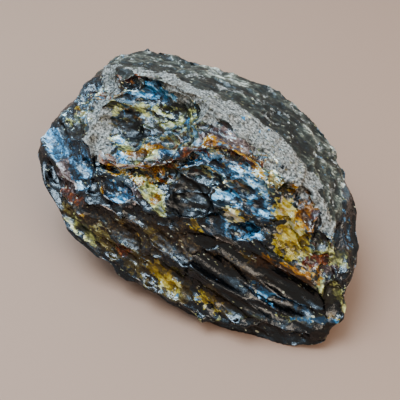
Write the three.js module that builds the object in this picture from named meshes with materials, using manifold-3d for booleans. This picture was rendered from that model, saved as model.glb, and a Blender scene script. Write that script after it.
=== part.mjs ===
// A raw lump of blue amber, as broken out of the seam: one solid piece of fossil resin.
// Units are millimetres, +Z is up, +X runs along the lump's longest side, and the
// origin is at the middle of its footprint, on the plane that it rests on.
//
// The lump is made the way it broke. Its corners, joined by flat fracture faces, give the
// block. Shell-shaped scoops are then struck out of those faces, because amber breaks like
// glass: each blow leaves a smooth hollow that meets the next one in a sharp edge.

import * as THREE from "three";
import { ConvexGeometry } from "three/addons/geometries/ConvexGeometry.js";
import { mergeVertices } from "three/addons/utils/BufferGeometryUtils.js";
import Module from "manifold-3d";

const wasm = await Module();
wasm.setup();

// ---- Driving dimensions ------------------------------------------------------------------

const SCOOP_MERIDIANS = 36; // facets round a scoop
const SCOOP_PARALLELS = 22; // facets from one pole of a scoop to the other
const WELD_DISTANCE = 0.001; // corners closer than this are one corner
const AMBER_COLOUR = 0x2a1c12; // dark brown, nearly black in the mass
const AMBER_ROUGHNESS = 0.25; // a fresh fracture is glossy

// Corners of the block, ring by ring from the top down: [x, y, z].
const CREST = [
  [-50, 8, 60],
  [-27, 2, 66],
  [-7, 2, 67],
  [12, 0, 62],
  [29, 3, 54],
  [43, 3, 46],
  [58, -3, 34],
];
const SHOULDER = [
  [-61, 12, 53],
  [-41, -13, 53],
  [-29, -25, 48],
  [-65, 29, 50],
  [-57, 39, 50],
  [-39, 42, 50],
  [-13, 43, 51],
  [6, 45, 49],
  [18, 42, 47],
  [23, 39, 43],
  [31, 40, 40],
  [44, 31, 36],
];
const GIRDLE = [
  [-68, 15, 46],
  [-65, -2, 43],
  [-66, -18, 37],
  [-64, -28, 33],
  [-53, -36, 29],
  [-41, -41, 25],
  [-29, -45, 18],
  [-18, -44, 14],
  [55, 22, 28],
  [61, 11, 24],
  [64, 1, 21],
  [67, -4, 17],
];
const LEDGE = [
  [-19, -37, 36],
  [2, -30, 41],
  [24, -12, 55],
];
const LIP = [
  [25, -40, 8],
  [38, -35, 10],
  [56, -25, 12],
  [68, -15, 11],
];
const FOOT = [
  [-5, -41, 6],
  [10, -38, 2],
  [23, -35, 0],
  [40, -32, 0],
  [53, -28, 0],
  [66, -21, 3],
  [60, 1, 4],
  [46, 19, 3],
  [32, 13, 0],
  [18, 29, 4],
  [-20, 27, 5],
  [-42, 15, 9],
  [-44, -7, 9],
  [-34, -27, 8],
  [-20, -17, 0],
  [-18, 9, 0],
];

// Scoops struck out of the block. at is the middle of the blow on the block's face, out
// the way the face looks, along the direction of the scoop's length.
const SCOOPS = [
  // crown: the hollow below the crest, and the step beside its highest block
  { at: [-14, -7, 58], out: [-0.1, -0.6, 0.8], along: [0.8, 0.4, -0.2], length: 46, width: 24, depth: 5 },
  { at: [-24, -15, 53], out: [-0.2, -0.7, 0.7], along: [0.7, 0.3, -0.3], length: 26, width: 18, depth: 5 },
  { at: [-54, -1, 52], out: [-0.4, -0.4, 0.8], along: [-0.4, 0.9, 0], length: 34, width: 16, depth: 3 },
  { at: [-12, 27, 60], out: [0.1, 0.4, 0.9], along: [1, 0.1, 0], length: 48, width: 20, depth: 2.5 },
  { at: [26, 27, 52], out: [0.4, 0.5, 0.8], along: [0.8, -0.5, -0.4], length: 34, width: 18, depth: 2.5 },
  // left end: a long glassy face
  { at: [-49, -21, 43], out: [-0.3, -0.6, 0.75], along: [0.7, -0.6, -0.3], length: 34, width: 20, depth: 2 },
  { at: [-52, -19, 18], out: [-0.7, -0.6, -0.4], along: [0.6, -0.8, 0], length: 40, width: 18, depth: 3 },
  // front: two shells side by side, and the brown face under the ledge
  { at: [19, -16, 51], out: [0.3, -0.8, 0.5], along: [0.8, 0.5, 0.1], length: 44, width: 22, depth: 4 },
  { at: [32, -16, 40], out: [0.4, -0.8, 0.5], along: [0.8, 0.2, -0.4], length: 50, width: 20, depth: 3.5 },
  { at: [-14, -41, 24], out: [0.1, -0.95, 0.2], along: [0.9, 0.1, -0.3], length: 52, width: 18, depth: 3 },
  // front foot: long sweeping shells that end at the lip
  { at: [28, -29, 27], out: [0.3, -0.85, 0.45], along: [0.8, 0.1, -0.6], length: 62, width: 16, depth: 3.5 },
  { at: [46, -23, 20], out: [0.4, -0.8, 0.5], along: [0.9, 0.2, -0.4], length: 46, width: 14, depth: 3.5 },
  { at: [47, -30, 4], out: [0.3, -0.9, -0.3], along: [0.9, 0.3, 0.1], length: 38, width: 9, depth: 2 },
  // right end
  { at: [59, 1, 32], out: [0.8, 0.3, 0.5], along: [-0.2, 0.8, 0.2], length: 36, width: 22, depth: 3 },
  { at: [60, 7, 14], out: [0.85, 0.4, -0.3], along: [-0.4, 0.9, 0], length: 34, width: 16, depth: 3 },
  // back, out of sight
  { at: [-38, 35, 32], out: [-0.4, 0.85, -0.3], along: [0.8, 0.5, 0], length: 54, width: 34, depth: 5 },
  { at: [10, 39, 28], out: [0.1, 0.95, -0.2], along: [1, 0, 0.2], length: 50, width: 30, depth: 5 },
  { at: [42, 29, 18], out: [0.5, 0.8, -0.2], along: [0.8, -0.5, 0], length: 34, width: 22, depth: 4 },
  { at: [-58, 5, 24], out: [-0.9, 0.1, -0.4], along: [0.1, 1, 0], length: 40, width: 28, depth: 4 },
];

// ---- Solids ------------------------------------------------------------------------------

// Makes a closed three.js geometry a solid.
function solidFrom(geometry) {
  const bare = geometry.clone();
  bare.deleteAttribute("normal");
  bare.deleteAttribute("uv");
  const merged = mergeVertices(bare, WELD_DISTANCE);
  return new wasm.Manifold(
    new wasm.Mesh({
      numProp: 3,
      vertProperties: merged.attributes.position.array,
      triVerts: new Uint32Array(merged.index.array),
    }),
  );
}

// Turns a solid back into a geometry with one flat normal for each face.
function geometryFrom(solid) {
  const mesh = solid.getMesh();
  const geometry = new THREE.BufferGeometry();
  geometry.setAttribute("position", new THREE.BufferAttribute(mesh.vertProperties, 3));
  geometry.setIndex(new THREE.BufferAttribute(mesh.triVerts, 1));
  const flat = geometry.toNonIndexed();
  flat.computeVertexNormals();
  return flat;
}

// The block: the smallest convex solid round every corner.
function fractureBlock() {
  const corners = [...CREST, ...SHOULDER, ...GIRDLE, ...LEDGE, ...LIP, ...FOOT];
  const points = corners.map((corner) => new THREE.Vector3(...corner));
  return solidFrom(new ConvexGeometry(points));
}

// One scoop: an ellipsoid that dips depth below the face and opens to length by width there.
function scoopSolid({ at, out, along, length, width, depth }) {
  const outward = new THREE.Vector3(...out).normalize();
  const lengthwise = new THREE.Vector3(...along).projectOnPlane(outward).normalize();
  const widthwise = new THREE.Vector3().crossVectors(outward, lengthwise);
  const reach = (length * width) / 4;
  const height = (reach + depth ** 2) / (2 * depth);
  const spread = Math.sqrt(1 - ((height - depth) / height) ** 2);
  const ball = new THREE.SphereGeometry(1, SCOOP_MERIDIANS, SCOOP_PARALLELS);
  ball.scale(length / 2 / spread, width / 2 / spread, height);
  ball.applyMatrix4(new THREE.Matrix4().makeBasis(lengthwise, widthwise, outward));
  const centre = new THREE.Vector3(...at).addScaledVector(outward, height - depth);
  ball.translate(centre.x, centre.y, centre.z);
  return solidFrom(ball);
}

const lump = SCOOPS.reduce((solid, scoop) => solid.subtract(scoopSolid(scoop)), fractureBlock());

const amber = new THREE.MeshStandardMaterial({
  color: AMBER_COLOUR,
  roughness: AMBER_ROUGHNESS,
  metalness: 0,
});
const lumpMesh = new THREE.Mesh(geometryFrom(lump), amber);
lumpMesh.name = "amber_lump";

const part = new THREE.Group();
part.add(lumpMesh);

export default part;
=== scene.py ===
# %% [markdown]
# # A raw lump of blue amber
#
# Amber is fossil resin. This lump was broken out of its seam with a hammer, and nobody has
# polished it. Most of its outside is fresh fracture, as glossy as bottle glass, and along the
# top it keeps the dull crust that it had in the ground. The resin is clear, but so deep in
# colour that the whole lump looks black, and only thin or cracked places let honey light out.
#
# The lesson goes in the order that the lump was made: the resin block, the blows that broke
# it, the marks that they left, the stains and the crust, and then what is sealed inside.

import itertools
import math

import bmesh
import bpy
import numpy as np
from mathutils import Matrix, Vector, noise
from mathutils.bvhtree import BVHTree


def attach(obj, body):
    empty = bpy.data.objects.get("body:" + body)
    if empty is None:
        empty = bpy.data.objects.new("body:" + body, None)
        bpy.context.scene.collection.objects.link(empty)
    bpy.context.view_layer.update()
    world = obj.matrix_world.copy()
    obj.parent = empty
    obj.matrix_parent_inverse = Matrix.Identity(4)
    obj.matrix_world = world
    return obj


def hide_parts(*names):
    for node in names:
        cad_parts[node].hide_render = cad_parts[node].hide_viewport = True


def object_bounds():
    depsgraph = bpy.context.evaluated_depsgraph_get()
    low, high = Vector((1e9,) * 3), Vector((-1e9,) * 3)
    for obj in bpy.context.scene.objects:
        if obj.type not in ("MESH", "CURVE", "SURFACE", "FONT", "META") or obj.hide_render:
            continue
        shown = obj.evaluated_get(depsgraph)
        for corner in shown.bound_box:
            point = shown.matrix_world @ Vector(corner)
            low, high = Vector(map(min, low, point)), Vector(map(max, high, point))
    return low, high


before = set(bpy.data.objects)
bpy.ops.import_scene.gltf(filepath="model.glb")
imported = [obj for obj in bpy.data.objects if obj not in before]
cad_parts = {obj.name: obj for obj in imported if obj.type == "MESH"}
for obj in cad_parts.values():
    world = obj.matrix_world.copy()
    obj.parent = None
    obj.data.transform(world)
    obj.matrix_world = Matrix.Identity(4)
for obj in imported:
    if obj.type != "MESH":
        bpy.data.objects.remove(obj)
cad_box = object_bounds()
MM = 0.001  # everything below is measured in millimetres and held in metres
print("block, mm:", [round(c / MM, 1) for corner in cad_box for c in corner])

# %% [markdown]
# ## Camera
#
# The lump lies on a table and is looked down on, half from above, from in front of its right
# half. A 50 mm lens about 20 cm away sees it as someone does who leans over the table: near
# edges are a little larger than far ones.

# %% Camera
CAMERA_TURN = 35  # degrees round the lump from straight in front
CAMERA_RISE = 45  # degrees above the table
CAMERA_REACH = 205 * MM
CAMERA_AIM = Vector((4, -9, 30)) * MM


def direction(turn, rise):
    """The unit vector that points away from the lump towards that turn and rise, in degrees."""
    turn, rise = math.radians(turn), math.radians(rise)
    level = math.cos(rise)
    return Vector((math.sin(turn) * level, -math.cos(turn) * level, math.sin(rise)))


def aimed(thing, turn, rise, reach):
    """Puts a camera or a lamp that far from the aim and turns it to look there."""
    away = direction(turn, rise)
    thing.location = CAMERA_AIM + away * reach
    thing.rotation_euler = away.to_track_quat("Z", "Y").to_euler()
    bpy.context.collection.objects.link(thing)
    return thing


lens = bpy.data.cameras.new("lens")
lens.lens = 50
lens.sensor_width = 36
lens.clip_start = 10 * MM
camera = aimed(bpy.data.objects.new("camera", lens), CAMERA_TURN, CAMERA_RISE, CAMERA_REACH)
bpy.context.scene.camera = camera
print("camera at, mm:", [round(c / MM) for c in camera.location])

# %% [markdown]
# ## Colours
#
# Every colour is written as the hex value that a paint program shows. A shader works in
# linear light, so one function turns the first into the second.


# %% Colours
def linear(hex_colour):
    """The linear RGBA of an sRGB colour such as "#c8a04a"."""
    channels = [int(hex_colour[i : i + 2], 16) / 255 for i in (1, 3, 5)]
    curve = [c / 12.92 if c <= 0.04045 else ((c + 0.055) / 1.055) ** 2.4 for c in channels]
    return (*curve, 1.0)


def add_node(tree, kind, inputs=None, stops=None, **settings):
    """Adds one shader node. inputs gives a value or another node's output for each socket,
    and stops gives a colour ramp's places and colours."""
    made = tree.nodes.new(kind)
    for name, value in settings.items():
        setattr(made, name, value)
    for socket, value in (inputs or {}).items():
        if isinstance(value, bpy.types.NodeSocket):
            tree.links.new(value, made.inputs[socket])
        else:
            made.inputs[socket].default_value = value
    if stops:
        ramp = made.color_ramp.elements
        while len(ramp) < len(stops):
            ramp.new(1.0)
        for element, (place, colour) in zip(ramp, stops):
            element.position = place
            element.color = linear(colour)
    return made


print("middle grey in linear light:", round(linear("#808080")[0], 3))

# %% [markdown]
# ## Table and daylight
#
# The look of broken resin is mostly reflections, so the light matters as much as the
# material. The room is a soft, warm-white dome, and every facet mirrors a piece of it. A wide
# dim window stands nearly overhead, a little to the left, and the middle of it is a small,
# bright piece of sky: the facets that tip towards it flash blue-white. A white card on the
# right lifts the far end. The floor is a plain pale board.

# %% Table and daylight
TABLE_REACH = 1.5  # metres from the middle of the table to its edge
floor_mesh = bpy.data.meshes.new("table")
sketch = bmesh.new()
bmesh.ops.create_grid(sketch, x_segments=1, y_segments=1, size=TABLE_REACH)
sketch.to_mesh(floor_mesh)
sketch.free()
floor = bpy.data.objects.new("table", floor_mesh)
bpy.context.collection.objects.link(floor)


def plain_material(name, hex_colour, roughness):
    """A material of one colour."""
    made = bpy.data.materials.new(name)
    made.use_nodes = True
    shader = made.node_tree.nodes["Principled BSDF"]
    shader.inputs["Base Color"].default_value = linear(hex_colour)
    shader.inputs["Roughness"].default_value = roughness
    return made


floor_mesh.materials.append(plain_material("pale_board", "#937867", 0.7))


def panel(name, turn, rise, reach, side, watts, colour):
    """A square lamp of that side, as a window or a white card would light the lump."""
    lamp = bpy.data.lights.new(name, "AREA")
    lamp.size = side
    lamp.energy = watts
    lamp.color = linear(colour)[:3]
    return aimed(bpy.data.objects.new(name, lamp), turn, rise, reach)


panel("window", turn=290, rise=70, reach=0.8, side=1.1, watts=9, colour="#a9d2f0")
panel("window_sky", turn=290, rise=70, reach=0.79, side=0.42, watts=8, colour="#cfe4f5")
panel("white_card", turn=80, rise=40, reach=0.9, side=0.5, watts=4.0, colour="#fff1e0")

sky = bpy.data.worlds.new("room_light")
sky.use_nodes = True
sky.node_tree.nodes["Background"].inputs["Color"].default_value = linear("#efe9e0")
sky.node_tree.nodes["Background"].inputs["Strength"].default_value = 0.75
bpy.context.scene.world = sky
bpy.context.scene.view_settings.look = "AgX - Medium High Contrast"
print("lamps:", [lamp.name for lamp in bpy.data.lights])

# %% [markdown]
# ## The block
#
# The frame holds the lump as a hard-edged solid with a few thousand large triangles. Chips
# need a finer and more even skin, so a copy of the solid is welded and then remeshed in small
# cubes: every part of the skin gets the same little quads, wherever the large triangles ran.

# %% The block
SKIN_GRAIN = 0.46 * MM  # width of one quad of the skin
WELD = 0.001 * MM


def welded_copy(node, name):
    """A new object with a closed copy of a CAD node's loose triangles."""
    copy = bmesh.new()
    copy.from_mesh(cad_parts[node].data)
    bmesh.ops.remove_doubles(copy, verts=copy.verts, dist=WELD)
    mesh = bpy.data.meshes.new(name)
    copy.to_mesh(mesh)
    copy.free()
    piece = bpy.data.objects.new(name, mesh)
    bpy.context.collection.objects.link(piece)
    return piece


def finish_with(piece, kind, **settings):
    """Applies one modifier to a piece for good."""
    modifier = piece.modifiers.new(kind.lower(), kind)
    for name, value in settings.items():
        setattr(modifier, name, value)
    seen = piece.evaluated_get(bpy.context.evaluated_depsgraph_get())
    made = bpy.data.meshes.new_from_object(seen)
    piece.modifiers.clear()
    piece.data = made


lump = welded_copy("amber_lump", "amber_surface")
finish_with(lump, "REMESH", mode="VOXEL", voxel_size=SKIN_GRAIN)
print("skin:", len(lump.data.vertices), "points,", len(lump.data.polygons), "quads")

# %% [markdown]
# ## Large scars
#
# Resin breaks like glass. Each blow sends a shell-shaped crack through it, which leaves a
# shallow bowl with faint rings round the place that was hit, and two bowls meet in a sharp
# ridge. A boolean cut with a ball for each blow would give that, but slowly. Here the points
# of the skin that a chip would take away are moved straight down to the scar instead, which
# gives the same bowls and the same sharp ridges in a moment.

# %% Large scars
RING_PITCH = 1.9 * MM  # from one ripple of a scar to the next
RIPPLE = 0.05 * MM
RIM = 1.3  # a scar runs out a little past its outline, where the skin bulges
TALLEST = 3  # skin higher above a scar than this many of its depths belongs to another face


def unit(vector):
    """The same direction, with a length of one."""
    return np.asarray(vector, float) / np.linalg.norm(vector)


def skin_points(piece):
    """Every point of a piece's mesh, as rows of x, y and z."""
    flat = np.empty(len(piece.data.vertices) * 3)
    piece.data.vertices.foreach_get("co", flat)
    return flat.reshape(-1, 3)


def skin_normals(piece, points):
    """The way the skin faces at each point, once the points have moved."""
    piece.data.vertices.foreach_set("co", points.ravel())
    piece.data.update()
    flat = np.empty(len(points) * 3)
    piece.data.vertex_normals.foreach_get("vector", flat)
    return flat.reshape(-1, 3)


def strike(points, at, out, along, length, width, depth):
    """Takes one shell-shaped chip off the skin. at is the middle of the scar, out the way it
    faces, and along the direction of its length."""
    at = np.array(at) * MM
    out = unit(out)
    length, width, depth = length * MM, width * MM, depth * MM
    near = np.flatnonzero(np.abs(points - at).max(axis=1) < length)
    offset = points[near] - at
    lengthwise = unit(np.asarray(along) - np.dot(along, out) * out)
    u = offset @ lengthwise / (length / 2)
    v = offset @ np.cross(out, lengthwise) / (width / 2)
    height = offset @ out
    spread = u * u + v * v
    rings = np.hypot(u * length / 2, (v + 1) * width / 2)
    scar = depth * (spread - 1) + RIPPLE * np.sin(2 * np.pi * rings / RING_PITCH) * (spread < 1)
    taken = (spread < RIM) & (height > scar) & (height < TALLEST * depth)
    points[near[taken]] += np.outer((scar - height)[taken], out)


LARGE_SCARS = [
    # place, facing, run, then length, width and depth in mm
    # the sheen under the crust, and the dark pocket below it
    ((-27, -1, 62), (0.1, -0.8, 0.6), (0.9, 0.3, 0), 17, 9, 2.0),
    ((-28, -9, 52), (0.1, -0.5, 0.9), (0.9, 0.4, 0), 11, 8, 2.6),
    ((-14, 0, 58), (0, -0.8, 0.6), (1, 0.3, 0), 15, 9, 1.4),
    # glassy steps on the left end
    ((-55, -21, 39), (-0.25, -0.62, 0.74), (0.88, -0.47, -0.05), 24, 9, 1.6),
    ((-46, -28, 38), (-0.2, -0.72, 0.66), (0.88, -0.47, -0.1), 22, 9, 1.6),
    ((-37, -29, 40), (-0.1, -0.8, 0.6), (0.6, -0.6, -0.4), 12, 6, 1.2),
    ((-17, -30, 42), (0.1, -0.7, 0.7), (0.6, 0.3, -0.5), 15, 9, 2.0),
    # the dark hollow and the crescents on the right shoulder
    ((9, -18, 49), (0.3, -0.78, 0.55), (0.8, 0.5, 0), 19, 11, 2.8),
    ((16, -12, 54), (0.3, -0.8, 0.5), (0.8, 0.5, 0), 24, 9, 1.8),
    ((11, -22, 44), (0.3, -0.7, 0.6), (0.9, 0.4, -0.2), 16, 11, 2.6),
    ((19, -16, 45), (0.2, -0.7, 0.7), (0.9, 0.3, -0.3), 10, 6, 1.5),
    ((31, -11, 46), (0.3, -0.8, 0.5), (0.9, 0.3, -0.3), 12, 7, 1.6),
    ((32, -12, 42), (0.4, -0.8, 0.4), (0.9, 0.3, -0.3), 12, 5, 1.4),
    ((19, -23, 38), (0.4, -0.6, 0.7), (0.9, 0.2, -0.4), 11, 7, 1.8),
    ((29, -20, 36), (0.4, -0.7, 0.6), (0.9, 0.2, -0.4), 18, 8, 1.8),
    # the long sweeping shells above the lip
    ((27, -26, 29), (0.3, -0.85, 0.4), (0.85, 0.2, -0.45), 36, 7, 1.8),
    ((31, -28, 22), (0.3, -0.8, 0.5), (0.85, 0.2, -0.45), 40, 7, 2.0),
    ((40, -24, 19), (0.4, -0.7, 0.6), (0.85, 0.2, -0.4), 34, 5, 1.4),
    ((48, -18.5, 20), (0.35, -0.85, 0.4), (0.9, 0.2, -0.3), 22, 9, 2.2),
    ((44, -27, 14), (0.4, -0.7, 0.6), (0.9, 0.2, -0.25), 30, 5, 1.2),
    ((34, -34, 13), (0.2, -0.9, 0.4), (0.9, 0.2, -0.3), 11, 5, 1.6),
    # the brown face under the ledge
    ((-14, -38, 28), (0.1, -0.95, 0.3), (0.9, 0.1, -0.3), 30, 11, 1.8),
    ((4, -34, 31), (0.3, -0.9, 0.3), (0.9, 0.2, -0.4), 22, 9, 1.6),
    # the honey window in the right shoulder
    ((40, -3, 46), (0.5, -0.4, 0.8), (0.5, -0.6, -0.6), 18, 11, 1.4),
    ((45, -10, 36), (0.3, -0.8, 0.5), (0.5, -0.4, -0.8), 14, 10, 1.4),
]
points = skin_points(lump)
for scar in LARGE_SCARS:
    strike(points, *scar)
print("large scars:", len(LARGE_SCARS))

# %% [markdown]
# ## Places on the lump
#
# Stains, seams and crust aren't all over the lump: each has its place. A place is a short
# path on the skin with a reach round it, so one function serves a spot, which is a path of
# one point, and a long seam alike. Its strength is 1 on the path and 0 at its reach, and the
# material later breaks its edge up.


# %% Places on the lump
def offset_from(points, path):
    """The way to each point from the nearest place on a path of straight runs, and how far it
    is. A path of one point is a single spot."""
    path = np.asarray(path, float) * MM
    offset = points - path[0]
    away = np.linalg.norm(offset, axis=1)
    for start, end in zip(path[:-1], path[1:]):
        run = end - start
        share = np.clip((points - start) @ run / (run @ run), 0, 1)
        from_run = points - start - np.outer(share, run)
        far = np.linalg.norm(from_run, axis=1)
        closer = far < away
        offset[closer] = from_run[closer]
        away = np.minimum(away, far)
    return offset, away


def strength(points, places):
    """The strongest of several places at each point: 1 on a path, 0 at its reach."""
    best = np.zeros(len(points))
    for path, reach in places:
        best = np.maximum(best, 1 - offset_from(points, path)[1] / (reach * MM))
    return best


# The crest: where the crust on top breaks off into the glassy front.
CREST_X = [-68, -50, -27, -7, 12, 29, 43, 58, 68]
CREST_Y = [14, 8, 3, 2, 0, 3, 3, -2, -6]
CREST_BLUR = 5  # mm over which the crust starts behind the crest
CRUST_BOTTOM = 34  # mm above the table, where the crust ends on the back
CRUST_FADE = 8  # mm over which it ends there

SEAM = [
    (-27, -26, 47), (-20, -27, 45), (-14, -25, 47), (-3, -20, 50),
    (1, -14, 55), (13, -8, 58), (22, -7, 56),
]
CROWN_CRACK = [(-47, 1, 60), (-40, -1, 60), (-34, 2, 63)]
LEDGE = [
    (-40, -33, 36), (-28, -32, 40), (-23, -35, 38), (-15, -35, 38),
    (-6, -33, 38), (3, -31, 38), (7, -29, 38),
]
LEFT_SLOT = [(-60, -16, 41), (-55, -20, 40), (-45, -25, 40), (-37, -28, 41)]
SHELL_RIDGE = [(11, -30, 33), (22, -25, 34), (33, -21, 31), (42, -20, 27)]
SWEEP_RIDGE = [(26, -26, 27), (35, -25, 21), (43, -23, 17), (55, -19, 14)]

PLACES = {
    "crust": [
        ([(-52, 8, 60), (-44, 5, 62), (-34, 4, 63)], 5),
    ],
    "dust": [
        ([(-53, 6, 59), (-50, -1, 54), (-41, -13, 52), (-33, -22, 48)], 8),
        ([(-56, 9, 58), (-51, 1, 56), (-46, -6, 53)], 10),
        ([(-36, 11, 62), (-27, 12, 62), (-15, 9, 64)], 8),
        ([(-10, 5, 66), (8, 8, 61), (23, 8, 55), (36, 7, 48)], 14),
        ([(-7, 2, 64), (0, 0, 63)], 5),
        ([(36, 6, 48), (46, 3, 43), (53, 0, 37)], 6),
    ],
    "smooth": [
        ([(18, -28, 30), (28, -27, 25), (42, -22, 20), (56, -17, 15)], 12),
        ([(-62, -19, 38), (-50, -25, 38), (-40, -29, 39)], 7.5),
        ([(28, -33, 17), (42, -27, 14)], 7),
        ([(61, -20, 5), (67, -15, 8)], 6),
        ([(-66, -20, 36), (-60, -31, 31), (-48, -38, 26), (-36, -43, 20), (-22, -45, 15)], 6),
    ],
    "motley": [
        ([(-46, -8, 52), (-20, -12, 52), (5, -8, 56), (24, -8, 52)], 26),
        ([(58, 2, 30), (52, -10, 32)], 12),
    ],
    "honey": [
        ([(38, -6, 45), (41, -9, 40), (43, -11, 34)], 9.5),
        ([(20, -17, 41), (25, -17, 39)], 4),
        ([(14, -26, 37)], 4),
        ([(3, -39, 18), (12, -39, 15)], 4.2),
        ([(25, -37, 15), (30, -36, 12)], 5),
        ([(-23, -33, 40)], 3.5),
        ([(-2, -27, 44)], 3.5),
        ([(65, -16, 13)], 4),
        ([(28, -7, 55)], 3.5),
        ([(-58, -7, 47)], 3),
        ([(31, -24, 30), (38, -22, 28)], 4),
    ],
    "tea": [
        ([(33, -4, 51), (38, -4, 48)], 6),
        ([(-20, -41, 21), (-10, -41, 19), (4, -40, 16), (13, -39, 14)], 9),
        ([(26, -34, 18), (33, -35, 12)], 5),
        ([(-12.6, -36.8, 33.4)], 6),
        ([(-2.4, -36.1, 29.9)], 8),
        ([(-40, -38, 30), (-32, -41, 24)], 5),
        ([(36, -23, 25)], 4),
    ],
    "ember": [
        ([(38, 1, 49), (43, -2, 44), (46, -6, 40)], 6.5),
        ([(38, -21, 27.5), (44, -19, 26.5), (52, -15, 26)], 6.5),
        ([(-26, -25, 48), (-20, -26, 46), (-14, -25, 48), (-6, -21, 50), (1, -14, 56)], 6.5),
        ([(-24, -19, 46), (-16, -14, 50), (-12, -12, 52)], 3.5),
        ([(6, -9, 58), (18, -7, 58), (25, -6, 56)], 5.5),
        ([(-22, -32, 41)], 3.2),
        ([(-2, -28, 44)], 3),
        ([(-28, -39, 28)], 3),
        ([(-57, -7, 48)], 2),
        ([(12, 37, 50)], 4),
    ],
    "crumb": [
        ([(-27, -3, 55)], 6),
        ([(-19, -3, 57), (-10, 0, 58)], 7),
        ([(-36, -7, 54)], 5),
        ([(-25, -17, 47), (-12, -16, 50)], 7),
        ([(-13, -24, 47), (-4, -26, 45), (2, -30, 41)], 6),
        ([(50, -12, 31), (55, -8, 32), (59, 0, 29)], 6),
        ([(46, -3, 41)], 3.5),
        ([(38, -33, 12), (46, -28.5, 13), (55, -22, 12.5), (61, -18.5, 12.5), (66, -16, 12)], 2.4),
        ([(59, -15, 22), (65, -9, 16)], 8),
        ([(-33, -41, 24), (-22, -41, 20)], 4.5),
        ([(-56, -15, 44)], 5),
        ([(35, -34, 8), (22, -38, 8)], 5),
        ([(20, -17, 42)], 3),
    ],
    "red": [
        (SEAM, 4),
        (CROWN_CRACK, 4),
        ([(-42, -36, 31), (-36, -37, 31), (-28, -37, 34)], 3.6),
        ([(-8, -18, 51), (-3, -13, 54)], 4.5),
        ([(50, -13, 30), (56, -9, 31)], 3),
        ([(-12, -39, 19)], 5),
        ([(47, -2, 43)], 3),
    ],
    "rind": [
        ([(-32, -40, 26), (-14, -40, 26), (-2, -36, 30), (10, -32, 32)], 13),
        ([(10, -32, 30), (26, -28, 28), (40, -23, 22)], 5),
    ],
    "plum": [
        ([(5, -5, 60), (16, -2, 59)], 9),
        ([(-46, -30, 36), (-38, -36, 32)], 7),
        ([(50, -13, 30), (57, -9, 29)], 6),
        ([(-16, -30, 43), (-6, -29, 43)], 5),
        ([(-42, -8, 53), (-38, -16, 50)], 6),
    ],
    # the blue bloom, and a painted sheen where the glassy faces mirror the sky
    "bloom_and_painted_sheen": [
        ([(-60, -18, 40), (-50, -25, 38), (-38, -29, 39)], 11),
        ([(-32, -2, 60), (-17, 1, 62), (-10, 0, 61)], 7),
        ([(-20, -31, 42), (-14, -31, 41)], 6),
        ([(-28, -16, 47), (-20, -16, 48), (-8, -14, 52)], 6),
        ([(0, -15, 54), (8, -13, 55.5), (14, -12, 55), (24, -9, 55)], 8),
        ([(17, -16, 45), (31, -11, 45), (34, -13, 40)], 6),
        ([(16, -25, 38), (24, -21, 37), (34, -16, 36)], 5),
        ([(54, 10, 30), (56, 2, 30)], 9),
        ([(36, -25, 21), (43, -23, 17), (55, -19, 14)], 3),
        ([(34, -36, 10)], 3.5),
        ([(-38, -33, 36), (-30, -33, 38)], 4),
    ],
    # painted shade: cracks, pockets and the recesses under overhangs, darkened as if in shadow
    "painted_shade": [
        (SEAM, 1.3),
        (CROWN_CRACK, 2.4),
        (LEDGE, 2.0),
        ([(-28, -9, 51), (-23, -10, 51)], 7),
        ([(5, -23, 45), (10, -20, 45), (16, -18, 45)], 10),
        ([(-8, -18, 51), (-3, -13, 54)], 4),
        ([(-60, -16, 41), (-55, -20, 40), (-45, -25, 40)], 2.5),
        ([(-63, -14, 40), (-56, -17, 42), (-49, -18, 44)], 6),
        ([(24, -24, 35), (30, -22, 34)], 4),
    ],
    # painted highlight: the crescents, shell edges and sheen that catch the light, painted blue-white
    "painted_highlight": [
        ([(-31, -1, 61), (-24, 0, 61), (-17, 1, 60)], 5),
        ([(-25, -19, 46), (-21, -20, 46)], 3),
        ([(-18, -31, 41), (-15, -32, 40)], 3.5),
        ([(16, -16.5, 45), (21, -14, 46)], 2.3),
        ([(27, -12, 45), (32, -10, 47)], 2.4),
        ([(29, -12, 42), (35, -12, 41)], 2),
        ([(18, -24, 38), (20, -23, 38)], 2.4),
        ([(36, -25, 21), (43, -23, 17), (55, -19, 14)], 2.4),
        ([(46, -28.5, 13), (55, -22, 12.5), (66, -16, 12)], 1.8),
        ([(-37, -28, 41), (-33, -31, 40)], 2.6),
        ([(-1, -16, 53), (3, -15, 54)], 3),
        ([(8, -13, 55.5), (14, -12, 55), (20, -10, 55)], 3.5),
        ([(34, -36, 10)], 2.2),
        ([(-12, -2, 58), (-9, -2, 58)], 3),
        ([(56, 6, 30)], 3),
    ],
}


def crust_strength(points):
    """1 well behind the crest, and 0 in front of it."""
    behind = points[:, 1] / MM - np.interp(points[:, 0] / MM, CREST_X, CREST_Y)
    high = points[:, 2] / MM - CRUST_BOTTOM
    return np.clip(np.minimum(behind / CREST_BLUR + 0.5, high / CRUST_FADE), 0, 1)


print("places:", {name: len(places) for name, places in PLACES.items()})

# %% [markdown]
# ## Steps and cracks
#
# A few lines cut across the face: the long red seam, where one layer of resin broke off the
# next, the crack under the crown, the ledge over the brown face, a slot in the left glass, the
# ridges of the shells, and the step at the crown's left. Beside such a line the skin drops by
# one to four and a half millimetres, sharply at the line and then less and less. The walls
# stretch the little quads, so the skin is remeshed once more before the chips come.


# %% Steps and cracks
def step_down(points, facing, path, towards, drop, fade):
    """Lowers the skin beside a path, on the side that towards points to."""
    offset, away = offset_from(points, path)
    lowered = (offset @ unit(towards) > 0) & (away < fade * MM)
    fall = drop * MM * (1 - away[lowered] / (fade * MM)) ** 1.5
    points[lowered] -= facing[lowered] * fall[:, None]


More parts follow.
